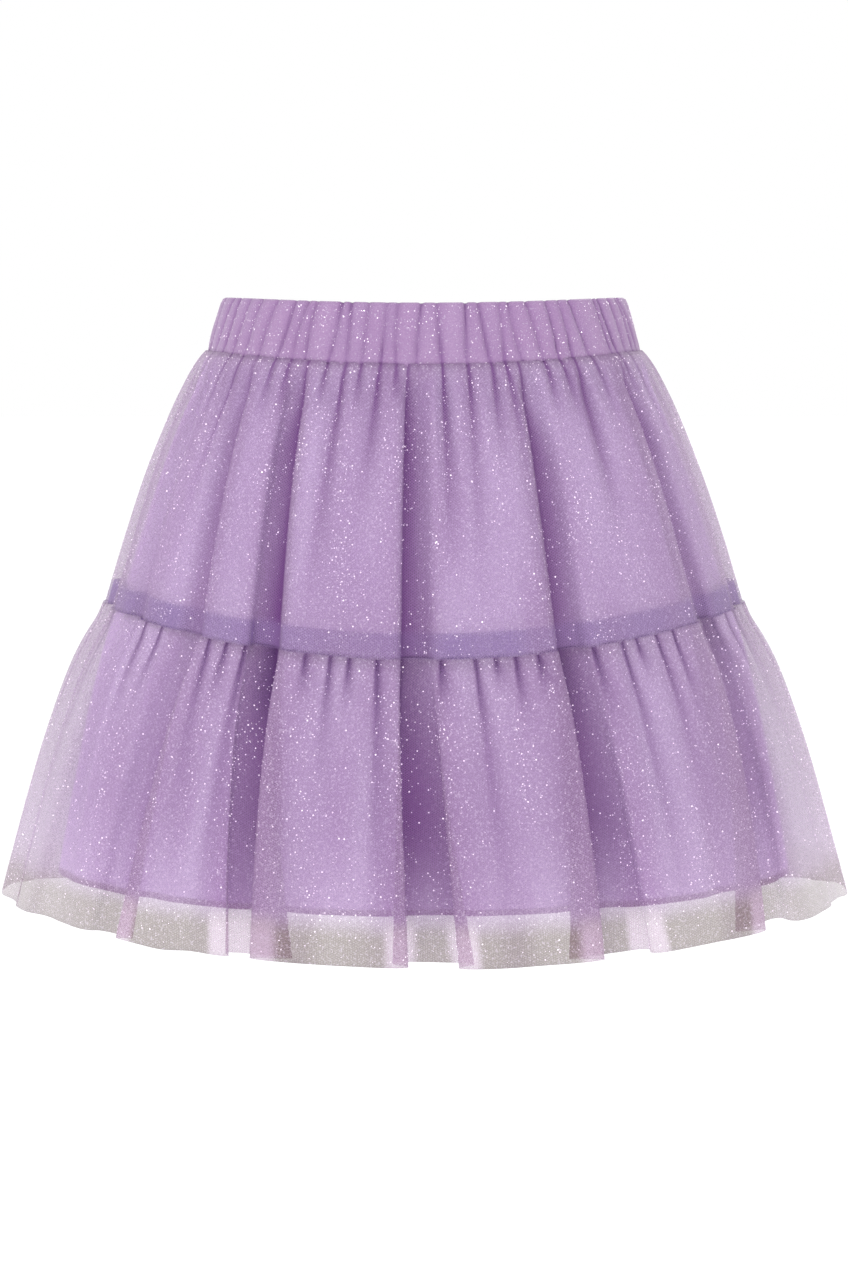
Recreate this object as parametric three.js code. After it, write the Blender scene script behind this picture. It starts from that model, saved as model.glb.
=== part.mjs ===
// A girl's party skirt in two gathered tiers of tulle over a plain lining, on an elastic waist.
// It is filled out as when it is worn, open at the waist and at the hem.
// Millimetres, +Z up, front towards -Y. The origin is the centre of the waist, half way up the
// waistband. Angles are degrees round the body: 0 is the middle of the front, 90 the side on +X
// and 180 the middle of the back.

import * as THREE from 'three';

// The rings that the cloth hangs on. sideHeight is the ring's height at the sides, and sag is
// how much lower it hangs at the middle of the front and back.
const BAND_TOP = { halfWidth: 99.5, halfDepth: 73.5, sideHeight: 11, sag: 4.5 };
const BAND_FOOT = { halfWidth: 105.5, halfDepth: 78, sideHeight: -13, sag: 7 };
const WAIST = { halfWidth: 105, halfDepth: 77.5, sideHeight: -13.3, sag: 7 };
const TIER_SEAM = { halfWidth: 156.5, halfDepth: 103, sideHeight: -136, sag: 20 };
const HEM = { halfWidth: 208.5, halfDepth: 125, sideHeight: -278, sag: 16 };
const LINING_HEM = { halfWidth: 180.5, halfDepth: 107, sideHeight: -268, sag: 6 };

// Both tiers and the lining spread fast below their top edge and then run straighter: a width
// grows with this power of the way down.
const FLARE = 0.7;

// Thickness of each wall, and the gap left where two pieces are sewn together.
const BAND_WALL = 2.2;
const TULLE_WALL = 1;
const LINING_WALL = 1;
const BINDING_WALL = 0.8;
const SEAM_GAP = 0.3;

// The binding over the tier seam lies inside the upper tier.
const BINDING_HEIGHT = 11;

// How far the small gathers stand in from a sewn edge, and how far they reach once clear of it.
const SEWN_GATHER = 0.8;

// The deep valleys that run from the waist to the hem, each value at the waist, the tier seam and
// the hem. left and right are the angles of a valley's two edges, and depth how far it lies in.
// leftLap and rightLap are how far, in millimetres, the cloth is slid over the valley at an edge.
const FRONT_VALLEYS = [
  {
    left: [-83, -81, -79], right: [-78, -76, -72], depth: [4, 5, 9],
    leftLap: [0, 0, 2], rightLap: [0, 1, 4],
  },
  {
    left: [-68.5, -65, -61], right: [-64, -60, -54], depth: [5, 4, 9],
    leftLap: [0, 0, 1], rightLap: [0, 1, 4],
  },
  {
    left: [-50, -47, -49], right: [-46, -42, -43], depth: [5, 4, 8],
    leftLap: [0, 0, 2], rightLap: [1, 1, 7],
  },
  {
    left: [-33.5, -29, -26], right: [-28.5, -24, -19], depth: [7, 8, 14],
    leftLap: [1, 2, 6], rightLap: [1, 1, 12],
  },
  {
    left: [-4.5, -4, -3], right: [0.5, 1, 5.5], depth: [7, 8, 15],
    leftLap: [1, 2, 8.5], rightLap: [0, 1, 8.5],
  },
  {
    left: [23, 22.5, 20.5], right: [28, 28, 30.5], depth: [7, 8, 15],
    leftLap: [1, 2, 12], rightLap: [0, 1, 5],
  },
  {
    left: [52, 53, 48], right: [57, 58, 57], depth: [6, 6, 12],
    leftLap: [1, 1, 10], rightLap: [0, 1, 3],
  },
  {
    left: [76, 75, 72], right: [80, 80, 80], depth: [4, 5, 10],
    leftLap: [0, 1, 5], rightLap: [0, 1, 3],
  },
];

// The gathers of the upper tier and the waistband: where each one leaves the waist, how far it
// wanders by the tier seam, how deep it gets and what share of the tier it runs down.
const FRONT_WAIST_GATHERS = [
  { at: -73, wander: -2, depth: 2.5, reach: 0.4 },
  { at: -60, wander: -2, depth: 2.5, reach: 0.5 },
  { at: -54, wander: -1, depth: 4.2, reach: 0.7 },
  { at: -41, wander: 2, depth: 3, reach: 0.3 },
  { at: -36, wander: 0, depth: 2.5, reach: 0.3 },
  { at: -25, wander: 0, depth: 1.8, reach: 0.25 },
  { at: -20, wander: -2, depth: 4, reach: 0.95 },
  { at: -16, wander: 0, depth: 2, reach: 0.25 },
  { at: -11, wander: -4, depth: 4.2, reach: 0.6 },
  { at: -7, wander: 0, depth: 1.5, reach: 0.2 },
  { at: 4.5, wander: 1, depth: 4.5, reach: 0.75 },
  { at: 11, wander: -1, depth: 3, reach: 0.9 },
  { at: 18, wander: -1, depth: 4, reach: 0.55 },
  { at: 32, wander: 0, depth: 3, reach: 0.25 },
  { at: 37, wander: 1, depth: 2, reach: 0.3 },
  { at: 42, wander: -1, depth: 4.5, reach: 0.8 },
  { at: 48, wander: 1, depth: 2, reach: 0.3 },
  { at: 61, wander: 2, depth: 2.5, reach: 0.35 },
  { at: 67, wander: 2, depth: 3, reach: 0.5 },
  { at: 73, wander: 0, depth: 2, reach: 0.4 },
  { at: 84, wander: 1, depth: 2, reach: 0.5 },
];

// The gathers of the lower tier, from the tier seam towards the hem, in the same columns.
const FRONT_SEAM_GATHERS = [
  { at: -85, wander: -1, depth: 2, reach: 0.6 },
  { at: -72, wander: 1, depth: 2.5, reach: 0.8 },
  { at: -55, wander: 1, depth: 3, reach: 0.5 },
  { at: -51, wander: 0, depth: 2, reach: 0.3 },
  { at: -39.5, wander: 3, depth: 3, reach: 0.8 },
  { at: -35, wander: 0, depth: 2, reach: 0.3 },
  { at: -32, wander: 2, depth: 3.5, reach: 1.2 },
  { at: -20.5, wander: 3, depth: 2.5, reach: 0.5 },
  { at: -16.5, wander: 1, depth: 3, reach: 1.1 },
  { at: -13, wander: 1, depth: 2, reach: 0.4 },
  { at: -10, wander: 1, depth: 2, reach: 0.4 },
  { at: -7.5, wander: 1.5, depth: 3.5, reach: 1.2 },
  { at: 4, wander: 4, depth: 2.5, reach: 0.5 },
  { at: 8, wander: 3, depth: 3, reach: 1 },
  { at: 12, wander: 1, depth: 2, reach: 0.4 },
  { at: 15, wander: 0, depth: 3, reach: 0.9 },
  { at: 19, wander: -1, depth: 3, reach: 0.8 },
  { at: 31, wander: 3, depth: 2.5, reach: 0.5 },
  { at: 35, wander: 1, depth: 3, reach: 1.1 },
  { at: 39, wander: 1, depth: 2, reach: 0.4 },
  { at: 43, wander: 0, depth: 3, reach: 0.8 },
  { at: 48, wander: -2, depth: 3.5, reach: 0.9 },
  { at: 62, wander: 1, depth: 2.5, reach: 0.5 },
  { at: 67, wander: 1, depth: 2, reach: 0.6 },
  { at: 71.5, wander: -1, depth: 2, reach: 0.7 },
  { at: 84, wander: 1, depth: 2, reach: 0.6 },
];

// A gather's dent is this wide, in degrees, at its sewn edge and where it fades out.
const GATHER_WIDTH = { sewn: 1.5, open: 3.2 };

// The lining hangs in the same valleys, this share as deep at the three levels, and this far in
// from the tulle above the tier seam. Below the seam it hangs straighter than the tulle.
const LINING_SHARE = [0.8, 0.95, 0.3];
const LINING_GAP = { sewn: 2.6, open: 7.4 };
const LINING_HEM_LEVEL = 1.95;

const clamp = THREE.MathUtils.clamp;
const mix = THREE.MathUtils.lerp;
const ease = (t) => THREE.MathUtils.smoothstep(t, 0, 1);

// The back is folded like the front, turned round, with each fold shifted by up to a degree or
// two and a little shallower.
const BACK_SHIFT = { closeUp: 0.97, most: 1.5, rowTurn: 2.4, firstTurn: 1 };
const BACK_SHARE = { middle: 0.86, swing: 0.14, rowTurn: 1.7 };
const BACK_LAP_SHARE = 0.85;

function backAngle(angle, row) {
  const shift = BACK_SHIFT.most * Math.sin(BACK_SHIFT.rowTurn * row + BACK_SHIFT.firstTurn);
  return 180 - angle * BACK_SHIFT.closeUp + shift;
}

function backDepth(depth, row) {
  return depth * (BACK_SHARE.middle + BACK_SHARE.swing * Math.sin(BACK_SHARE.rowTurn * row));
}

function backValley(valley, row) {
  return {
    left: valley.right.map((angle) => backAngle(angle, row)),
    right: valley.left.map((angle) => backAngle(angle, row)),
    depth: valley.depth.map((depth) => backDepth(depth, row)),
    leftLap: valley.rightLap.map((lap) => lap * BACK_LAP_SHARE),
    rightLap: valley.leftLap.map((lap) => lap * BACK_LAP_SHARE),
  };
}

function backGather(gather, row) {
  return {
    ...gather,
    at: backAngle(gather.at, row),
    wander: -gather.wander,
    depth: backDepth(gather.depth, row),
  };
}

const allRound = (rows, turned) => [...rows, ...rows.map(turned).reverse()];
const VALLEYS = allRound(FRONT_VALLEYS, backValley);
const WAIST_GATHERS = allRound(FRONT_WAIST_GATHERS, backGather);
const SEAM_GATHERS = allRound(FRONT_SEAM_GATHERS, backGather);

// A value given at the waist, the tier seam and the hem, read at a level from 0 to 2.
function atLevel(values, level) {
  return level < 1 ? mix(values[0], values[1], level) : mix(values[1], values[2], level - 1);
}

// An angle's distance from another, the short way round.
const turnFrom = (angle, other) => THREE.MathUtils.euclideanModulo(angle - other + 180, 360) - 180;

// The two edges of a valley at a level, and the size of their bends, in degrees. A bend reaches
// this many times its size to each side of the edge, and the two bends don't meet.
const WIDEST_BEND = 1.5;
const BEND_REACH = 1.8;
const BENDS_APART = 0.2;
function valleyEdges(valley, level) {
  const left = atLevel(valley.left, level);
  const right = atLevel(valley.right, level);
  return { left, right, bend: Math.min(WIDEST_BEND, (right - left) / (2 * BEND_REACH + BENDS_APART)) };
}

// 0 before an edge and 1 past it; turns counts the edge's bends from its middle.
const pastEdge = (turns) => ease((turns + BEND_REACH) / (2 * BEND_REACH));

// How the cloth slides over itself at an edge: forward before its middle and back past it.
const lapOver = (turns) => -turns * Math.exp((1 - turns * turns) / 2);

// Valleys start at the waist seam, where the cloth is held, and are full depth soon below it.
const HELD_LENGTH = 0.16;
const HELD_SHARE = 0.08;
const held = (level) => mix(HELD_SHARE, 1, ease(level / HELD_LENGTH));

function valleyDepth(angle, level) {
  let depth = 0;
  for (const valley of VALLEYS) {
    const { left, right, bend } = valleyEdges(valley, level);
    const past = pastEdge(turnFrom(angle, left) / bend);
    const before = pastEdge(turnFrom(right, angle) / bend);
    depth += atLevel(valley.depth, level) * past * before;
  }
  return depth * held(level);
}

// The angle that a point of the cloth is slid to where it laps over a valley.
function lapped(angle, level, ring) {
  const turn = THREE.MathUtils.degToRad(angle);
  const perRadian = Math.hypot(ring.halfWidth * Math.cos(turn), ring.halfDepth * Math.sin(turn));
  let slide = 0;
  for (const valley of VALLEYS) {
    const { left, right, bend } = valleyEdges(valley, level);
    slide += atLevel(valley.leftLap, level) * lapOver(turnFrom(angle, left) / bend);
    slide += atLevel(valley.rightLap, level) * lapOver(turnFrom(angle, right) / bend);
  }
  return angle + THREE.MathUtils.radToDeg((slide * held(level)) / perRadian);
}

// A gather opens to its full depth soon below the sewn edge, and then fades out at its reach.
const FADES_FROM = 0.15;
function gatherDepth(gathers, angle, way) {
  let depth = 0;
  for (const gather of gathers) {
    const share = way / gather.reach;
    const width = mix(GATHER_WIDTH.sewn, GATHER_WIDTH.open, clamp(share, 0, 1));
    const off = turnFrom(angle, gather.at + gather.wander * way) / width;
    const opened = mix(SEWN_GATHER, gather.depth, ease(way / HELD_LENGTH));
    depth += opened * (1 - ease(share - FADES_FROM)) * Math.exp(-off * off);
  }
  return depth;
}

function ringBetween(top, foot, way) {
  const spread = way ** FLARE;
  return {
    halfWidth: mix(top.halfWidth, foot.halfWidth, spread),
    halfDepth: mix(top.halfDepth, foot.halfDepth, spread),
    sideHeight: mix(top.sideHeight, foot.sideHeight, way),
    sag: mix(top.sag, foot.sag, way),
  };
}

// The point of a ring at an angle, moved inwards square to the ring.
function pointOn(ring, angle, inward) {
  const turn = THREE.MathUtils.degToRad(angle);
  const across = Math.sin(turn);
  const ahead = Math.cos(turn);
  const outward = new THREE.Vector2(across / ring.halfWidth, -ahead / ring.halfDepth).normalize();
  return new THREE.Vector3(
    ring.halfWidth * across - inward * outward.x,
    -ring.halfDepth * ahead - inward * outward.y,
    ring.sideHeight - ring.sag * ahead * ahead,
  );
}

// The surface of each piece: way runs from 0 at its top edge to 1 at its bottom edge.
function upperTier(angle, way) {
  const ring = ringBetween(WAIST, TIER_SEAM, way);
  const depth = valleyDepth(angle, way) + gatherDepth(WAIST_GATHERS, angle, way);
  return pointOn(ring, lapped(angle, way, ring), depth);
}

function lowerTier(angle, way) {
  const ring = ringBetween(TIER_SEAM, HEM, way);
  const depth = valleyDepth(angle, 1 + way) + gatherDepth(SEAM_GATHERS, angle, way);
  const point = pointOn(ring, lapped(angle, 1 + way, ring), depth);
  point.z -= SEAM_GAP * (1 - way);
  return point;
}

// The lining goes from the waist to its own hem, which is a little above the tulle's.
function liningRing(level) {
  if (level < 1) return ringBetween(WAIST, TIER_SEAM, level);
  return ringBetween(TIER_SEAM, LINING_HEM, (level - 1) / (LINING_HEM_LEVEL - 1));
}

function lining(angle, way) {
  const level = way * LINING_HEM_LEVEL;
  const opened = mix(LINING_GAP.sewn, LINING_GAP.open, ease(level / HELD_LENGTH));
  const gap = opened * clamp((LINING_HEM_LEVEL - level) / (LINING_HEM_LEVEL - 1), 0, 1);
  return pointOn(liningRing(level), angle, gap + valleyDepth(angle, level) * atLevel(LINING_SHARE, level));
}

// The waistband swells between its top and bottom edges, and every gather and valley of the upper
// tier runs up it as a crease.
const BAND_SWELL = 1.2;
const BAND_CREASE = { depth: 1.5, width: 1.1 };
const middleOf = (valley, level) => atLevel(valley.left, level) / 2 + atLevel(valley.right, level) / 2;
const BAND_CREASES = [
  ...WAIST_GATHERS.map((gather) => gather.at),
  ...VALLEYS.map((valley) => middleOf(valley, 0)),
].sort((a, b) => a - b);

function bandRing(way) {
  return {
    halfWidth: mix(BAND_TOP.halfWidth, BAND_FOOT.halfWidth, way),
    halfDepth: mix(BAND_TOP.halfDepth, BAND_FOOT.halfDepth, way),
    sideHeight: mix(BAND_TOP.sideHeight, BAND_FOOT.sideHeight, way),
    sag: mix(BAND_TOP.sag, BAND_FOOT.sag, way),
  };
}

function bandOutside(angle, way) {
  const nearness = BAND_CREASES.map((at) => Math.exp(-((turnFrom(angle, at) / BAND_CREASE.width) ** 2)));
  const crease = BAND_CREASE.depth * Math.max(...nearness);
  return pointOn(bandRing(way), angle, crease - BAND_SWELL * Math.sin(Math.PI * way));
}

function bandInside(angle, way) {
  const inward = BAND_WALL + BAND_CREASE.depth - BAND_SWELL * Math.sin(Math.PI * way);
  return pointOn(bandRing(way), angle, inward);
}

// The angles of a piece's columns, from side seam to side seam. Each gather and each bend of a
// valley has its own columns, which follow it down, and wide gaps between them are filled.
const HALVES = { front: [-90, 90], back: [90, 270] };
const SOFT_BEND = [-BEND_REACH, 0, BEND_REACH];
const FOLDED_BEND = [-BEND_REACH, -1.15, -0.45, 0.45, 1.15, BEND_REACH];
const WIDE_LAP = 5;
const CLOSEST_COLUMNS = 0.55;
const TULLE_SPACING = 3;
const LINING_SPACING = 10;

function foldAngles(gathers, level, way, isLapped) {
  const angles = gathers.map((gather) => gather.at + gather.wander * way);
  const bendTurns = (laps) => (isLapped && Math.max(...laps) >= WIDE_LAP ? FOLDED_BEND : SOFT_BEND);
  for (const valley of VALLEYS) {
    const { left, right, bend } = valleyEdges(valley, level);
    angles.push(...bendTurns(valley.leftLap).map((turns) => left + turns * bend));
    angles.push(...bendTurns(valley.rightLap).map((turns) => right + turns * bend));
  }
  return angles;
}

function columnsFrom(angles, half, halfDepth) {
  const [from, to] = HALVES[half];
  const seam = THREE.MathUtils.radToDeg(SEAM_GAP / 2 / halfDepth);
  const within = (angle) => angle > from + CLOSEST_COLUMNS && angle < to - CLOSEST_COLUMNS;
  const inside = angles.filter(within).sort((a, b) => a - b);
  const columns = [from + seam];
  for (const angle of inside) columns.push(Math.max(angle, columns.at(-1) + CLOSEST_COLUMNS));
  return [...columns, to - seam];
}

// Both lists of columns are cut alike: where the first has a gap wider than the spacing.
function filled(guide, columns, spacing) {
  const all = [columns[0]];
  for (let i = 1; i < columns.length; i += 1) {
    const steps = Math.ceil((guide[i] - guide[i - 1]) / spacing);
    for (let s = 1; s <= steps; s += 1) all.push(mix(columns[i - 1], columns[i], s / steps));
  }
  return all;
}

function tierColumns(half, gathers, isLapped, topLevel, top, foot) {
  const at = (way) => {
    const ring = ringBetween(top, foot, way);
    return columnsFrom(foldAngles(gathers, topLevel + way, way, isLapped), half, ring.halfDepth);
  };
  return (way) => filled(at(0), at(way), TULLE_SPACING);
}

function liningColumns(half) {
  const at = (level) => columnsFrom(foldAngles([], level, 0, false), half, liningRing(level).halfDepth);
  return (way) => filled(at(0), at(way * LINING_HEM_LEVEL), LINING_SPACING);
}

// A grid of points, rows from the top edge down.
function gridOf(surface, ways, columnsFor) {
  return ways.map((way) => columnsFor(way).map((angle) => surface(angle, way)));
}

// The same grid moved inwards by a wall's thickness. The wall is measured level, so that a sewn
// edge stays level, and keeps its thickness round a corner, up to a limit.
const LONGEST_MITRE = 1.6;
function insideOf(grid, thickness) {
  return grid.map((row) => {
    const squareTo = row.slice(1).map((point, c) => {
      const step = new THREE.Vector2(point.x - row[c].x, point.y - row[c].y);
      return new THREE.Vector2(-step.y, step.x).normalize();
    });
    return row.map((point, c) => {
      const before = squareTo[Math.max(c - 1, 0)];
      const after = squareTo[Math.min(c, squareTo.length - 1)];
      const inward = before.clone().add(after).normalize();
      if (c === 0 || c === row.length - 1) inward.set(Math.sign(inward.x), 0);
      const length = thickness * Math.min(LONGEST_MITRE, 1 / inward.dot(before));
      return new THREE.Vector3(point.x + inward.x * length, point.y + inward.y * length, point.z);
    });
  });
}

// A closed wall between an outer and an inner grid of the same size.
function wallBetween(outer, inner) {
  const rows = outer.length;
  const columns = outer[0].length;
  const points = [...outer.flat(), ...inner.flat()];
  const position = new Float32Array(points.flatMap((point) => point.toArray()));
  const index = [];
  const quad = (a, b, c, d) => index.push(a, b, c, a, c, d);
  const out = (r, c) => r * columns + c;
  const inn = (r, c) => rows * columns + out(r, c);
  for (let r = 0; r + 1 < rows; r += 1) {
    for (let c = 0; c + 1 < columns; c += 1) {
      quad(out(r, c), out(r + 1, c), out(r + 1, c + 1), out(r, c + 1));
      quad(inn(r, c), inn(r, c + 1), inn(r + 1, c + 1), inn(r + 1, c));
    }
    quad(out(r, 0), inn(r, 0), inn(r + 1, 0), out(r + 1, 0));
    quad(out(r, columns - 1), out(r + 1, columns - 1), inn(r + 1, columns - 1), inn(r, columns - 1));
  }
  for (let c = 0; c + 1 < columns; c += 1) {
    quad(out(0, c), out(0, c + 1), inn(0, c + 1), inn(0, c));
    quad(out(rows - 1, c), inn(rows - 1, c), inn(rows - 1, c + 1), out(rows - 1, c + 1));
  }
  const geometry = new THREE.BufferGeometry();
  geometry.setAttribute('position', new THREE.BufferAttribute(position, 3));
  geometry.setIndex(index);
  geometry.computeVertexNormals();
  return geometry;
}

const MATERIALS = {
  band: new THREE.MeshStandardMaterial({ color: 0xb698c4, roughness: 0.75, metalness: 0 }),
  tulle: new THREE.MeshStandardMaterial({ color: 0xc3a8d0, roughness: 0.6, metalness: 0 }),
  binding: new THREE.MeshStandardMaterial({ color: 0x9a88b4, roughness: 0.7, metalness: 0 }),
  lining: new THREE.MeshStandardMaterial({ color: 0xa87fba, roughness: 0.5, metalness: 0 }),
};

const BAND_WAYS = [0, 0.5, 1];
const BINDING_TOP = 1 + BINDING_HEIGHT / (TIER_SEAM.sideHeight - WAIST.sideHeight);
const UPPER_WAYS = [0, 0.07, 0.18, 0.48, BINDING_TOP, 1];
const LOWER_WAYS = [0, 0.06, 0.18, 0.4, 0.7, 1];
const LINING_WAYS = [0, 0.08, 0.24, 0.51, 0.75, 1];

const skirt = new THREE.Group();

function addPiece(name, geometry, material) {
  const mesh = new THREE.Mesh(geometry, material);
  mesh.name = name;
  skirt.add(mesh);
}

for (const half of Object.keys(HALVES)) {
  const creaseSides = BAND_CREASES.flatMap((at) => [at - BAND_CREASE.width, at, at + BAND_CREASE.width]);
  const bandAngles = columnsFrom(creaseSides, half, BAND_TOP.halfDepth);
  const bandColumns = () => bandAngles;
  const bandOuter = gridOf(bandOutside, BAND_WAYS, bandColumns);
  const bandInner = gridOf(bandInside, BAND_WAYS, bandColumns);
  addPiece(`waistband_${half}`, wallBetween(bandOuter, bandInner), MATERIALS.band);

  const upperColumns = tierColumns(half, WAIST_GATHERS, false, 0, WAIST, TIER_SEAM);
  const upper = gridOf(upperTier, UPPER_WAYS, upperColumns);
  addPiece(`upper_tier_${half}`, wallBetween(upper, insideOf(upper, TULLE_WALL)), MATERIALS.tulle);

  // The binding is the upper tier's own lower edge, moved in by the tulle's wall and the gap.
  const boundOutside = insideOf(upper, TULLE_WALL + SEAM_GAP).slice(-2);
  const boundInside = insideOf(upper, TULLE_WALL + SEAM_GAP + BINDING_WALL).slice(-2);
  addPiece(`tier_binding_${half}`, wallBetween(boundOutside, boundInside), MATERIALS.binding);

  const lowerColumns = tierColumns(half, SEAM_GATHERS, true, 1, TIER_SEAM, HEM);
  const lower = gridOf(lowerTier, LOWER_WAYS, lowerColumns);
  addPiece(`lower_tier_${half}`, wallBetween(lower, insideOf(lower, TULLE_WALL)), MATERIALS.tulle);

  const lined = gridOf(lining, LINING_WAYS, liningColumns(half));
  addPiece(`lining_${half}`, wallBetween(lined, insideOf(lined, LINING_WALL)), MATERIALS.lining);
}

export default skirt;
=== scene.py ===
"""The looks of a girl's party skirt: a gathered elastic waistband and two tiers of glitter tulle over
a plain lining, with a binding over the tier seam. It is filled out as when it is worn.

Lengths below are in millimetres unless a name says otherwise, and angles in degrees round the body:
0 is the middle of the front, 90 the side on +X, 180 the middle of the back.
"""

import math
from collections import namedtuple

import bmesh
import bpy
import numpy as np
from mathutils import Euler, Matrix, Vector


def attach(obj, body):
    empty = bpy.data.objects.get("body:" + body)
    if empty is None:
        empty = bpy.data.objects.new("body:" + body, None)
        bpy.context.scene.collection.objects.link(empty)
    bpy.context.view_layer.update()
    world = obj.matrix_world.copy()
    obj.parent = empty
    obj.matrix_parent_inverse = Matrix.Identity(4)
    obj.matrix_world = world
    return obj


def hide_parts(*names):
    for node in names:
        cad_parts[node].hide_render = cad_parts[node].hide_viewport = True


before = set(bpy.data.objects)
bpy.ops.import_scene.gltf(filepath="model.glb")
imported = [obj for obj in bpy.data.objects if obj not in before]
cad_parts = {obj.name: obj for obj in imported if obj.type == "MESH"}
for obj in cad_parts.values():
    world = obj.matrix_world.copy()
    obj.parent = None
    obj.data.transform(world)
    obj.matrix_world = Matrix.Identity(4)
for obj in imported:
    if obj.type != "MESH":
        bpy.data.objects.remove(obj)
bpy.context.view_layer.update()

MM = 0.001

# Camera: as far off, as high and as tilted as the photograph's, with its 848 by 1264 frame.
CAMERA_DISTANCE = 1570
CAMERA_HEIGHT = -26
CAMERA_PITCH = 4.55
CAMERA_LENS = 91.5
CAMERA_SENSOR = 36


def make_camera():
    data = bpy.data.cameras.new("camera")
    data.sensor_width = CAMERA_SENSOR
    data.lens = CAMERA_LENS
    camera = bpy.data.objects.new("camera", data)
    bpy.context.scene.collection.objects.link(camera)
    camera.location = Vector((0, -CAMERA_DISTANCE, CAMERA_HEIGHT)) * MM
    camera.rotation_euler = Euler((math.radians(90 - CAMERA_PITCH), 0, 0))
    bpy.context.scene.camera = camera


make_camera()

# The rings that the cloth hangs on. side_height is the height at the sides, and sag is how much
# lower a ring hangs at the middle of the front and back.
Ring = namedtuple("Ring", "half_width half_depth side_height sag")
BAND_TOP = Ring(98.2, 72.6, 12, 3.8)
BAND_FOOT = Ring(105.5, 78, -13, 7)
WAIST = Ring(105, 77.5, -13.3, 7)
TIER_SEAM = Ring(156.5, 103, -136, 20)
HEM = Ring(208.5, 125, -278, 17.3)
LINING_HEM = Ring(180.5, 107, -268, 6)
FLARE = 0.7

# Thickness of the cloths, as seen at an edge, and the wall and seam gap of the plain solids, which
# the binding keeps clear of.
TULLE_WALL = 0.3
LINING_WALL = 0.7
BINDING_WALL = 0.5
BAND_WALL = 2.2
SEAM_GAP = 0.3
CAD_TULLE_WALL = 1

# How far the small gathers stand in from a sewn edge.
SEWN_GATHER = 0.8

# The deep valleys that run from the waist to the hem, each value at the waist, the tier seam and
# the hem. left and right are the angles of a valley's edges, depth how far it lies in, and each
# lap how far the cloth is slid over the valley at that edge. dark is how deeply its colour is
# darkened by painted shade, and softness over how many degrees that painted shade comes in at its
# left and right edge.
Valley = namedtuple("Valley", "left right depth left_lap right_lap dark softness")
FRONT_VALLEYS = [
    Valley((-83, -81, -79), (-78, -76, -72), (4, 5, 3), (0, 0, 0), (0, 0, 1),
           (0.35, 0.2, 0.15), (5, 1.4)),
    Valley((-68.5, -65, -61), (-64, -60, -54), (5, 4, 3.5), (0, 0, 0), (0, 0.5, 0.5),
           (0.45, 0.3, 0.15), (5, 1.2)),
    Valley((-50, -47, -49), (-46, -42, -43), (5, 4, 8), (0, 0, 2), (1, 1, 7),
           (0.6, 0.4, 0.2), (6, 1.4)),
    Valley((-34.5, -31.5, -26.5), (-29.5, -25.8, -20.2), (7, 8, 14), (1, 2, 6), (1, 1, 14),
           (1, 1, 1), (9, 0.8)),
    Valley((-4.5, -4, -3), (0.5, 1, 5.5), (7, 8, 15), (1, 2, 8.5), (0, 1, 8.5),
           (1, 1, 1), (0.7, 10)),
    Valley((23.5, 23.7, 21.7), (28.5, 28.7, 31), (7, 8, 15), (1, 2, 12), (0, 1, 5),
           (0.95, 0.88, 0.8), (0.8, 8)),
    Valley((56, 57, 49), (60, 61.5, 57.5), (6, 6, 12), (1, 1, 10), (0, 1, 3),
           (1, 0.85, 0.4), (0.5, 8)),
    Valley((76, 75, 72), (80, 80, 80), (4, 5, 3), (0, 0.5, 0.5), (0, 0, 1),
           (0.4, 0.25, 0.15), (1.2, 5)),
]

# Gathers: where each one leaves its sewn edge, how far it wanders down the tier, how deep it gets
# and what share of the tier it runs down.
Gather = namedtuple("Gather", "at wander depth reach")
FRONT_WAIST_GATHERS = [
    Gather(-73, -2, 2.5, 0.4),
    Gather(-60, -2, 2.5, 0.5),
    Gather(-54, -1, 4.2, 0.7),
    Gather(-41, 2, 3, 0.3),
    Gather(-36, 0, 2.5, 0.3),
    Gather(-25, 0, 1.8, 0.25),
    Gather(-20, -2, 4, 0.95),
    Gather(-16, 0, 2, 0.25),
    Gather(-11, -4, 4.2, 0.6),
    Gather(-7, 0, 1.5, 0.2),
    Gather(4.5, 1, 5.4, 0.75),
    Gather(11, -1, 3, 0.9),
    Gather(17, -1, 3.4, 0.45),
    Gather(20.8, 0.6, 2, 1.1),
    Gather(32, 0, 3, 0.25),
    Gather(37, 1, 2, 0.3),
    Gather(41.5, -1, 5, 0.75),
    Gather(48, 1, 2, 0.3),
    Gather(61, 2, 2.5, 0.35),
    Gather(67, 2, 3, 0.5),
    Gather(73, 0, 2, 0.4),
    Gather(84, 1, 2, 0.5),
]
FRONT_SEAM_GATHERS = [
    Gather(-85, -1, 2, 0.6),
    Gather(-72, 1, 2.5, 0.8),
    Gather(-57, 1, 3, 0.5),
    Gather(-52, 0, 2.4, 0.4),
    Gather(-39.5, 3, 3, 0.8),
    Gather(-36, 0, 2, 0.3),
    Gather(-33, 2, 3.5, 1.2),
    Gather(-20.5, 3, 1.4, 0.2),
    Gather(-16, 1, 2.6, 0.6),
    Gather(-12.8, 1, 1.6, 0.25),
    Gather(-8, 1.5, 3.8, 1.2),
    Gather(3, 3, 2, 0.25),
    Gather(8.5, 3, 3.2, 1.1),
    Gather(12, 1, 1.2, 0.14),
    Gather(15.5, 0, 1.8, 0.35),
    Gather(19.5, -1, 1.2, 0.18),
    Gather(30.3, 3, 2.5, 0.4),
    Gather(35.8, 1, 3.4, 1.1),
    Gather(39, 1, 1.2, 0.18),
    Gather(43.8, 0, 3, 0.7),
    Gather(48, -2, 2.2, 0.5),
    Gather(62, 1, 2.5, 0.5),
    Gather(67, 1, 2, 0.6),
    Gather(71.5, -1, 2, 0.7),
    Gather(84, 1, 2, 0.6),
]

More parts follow.
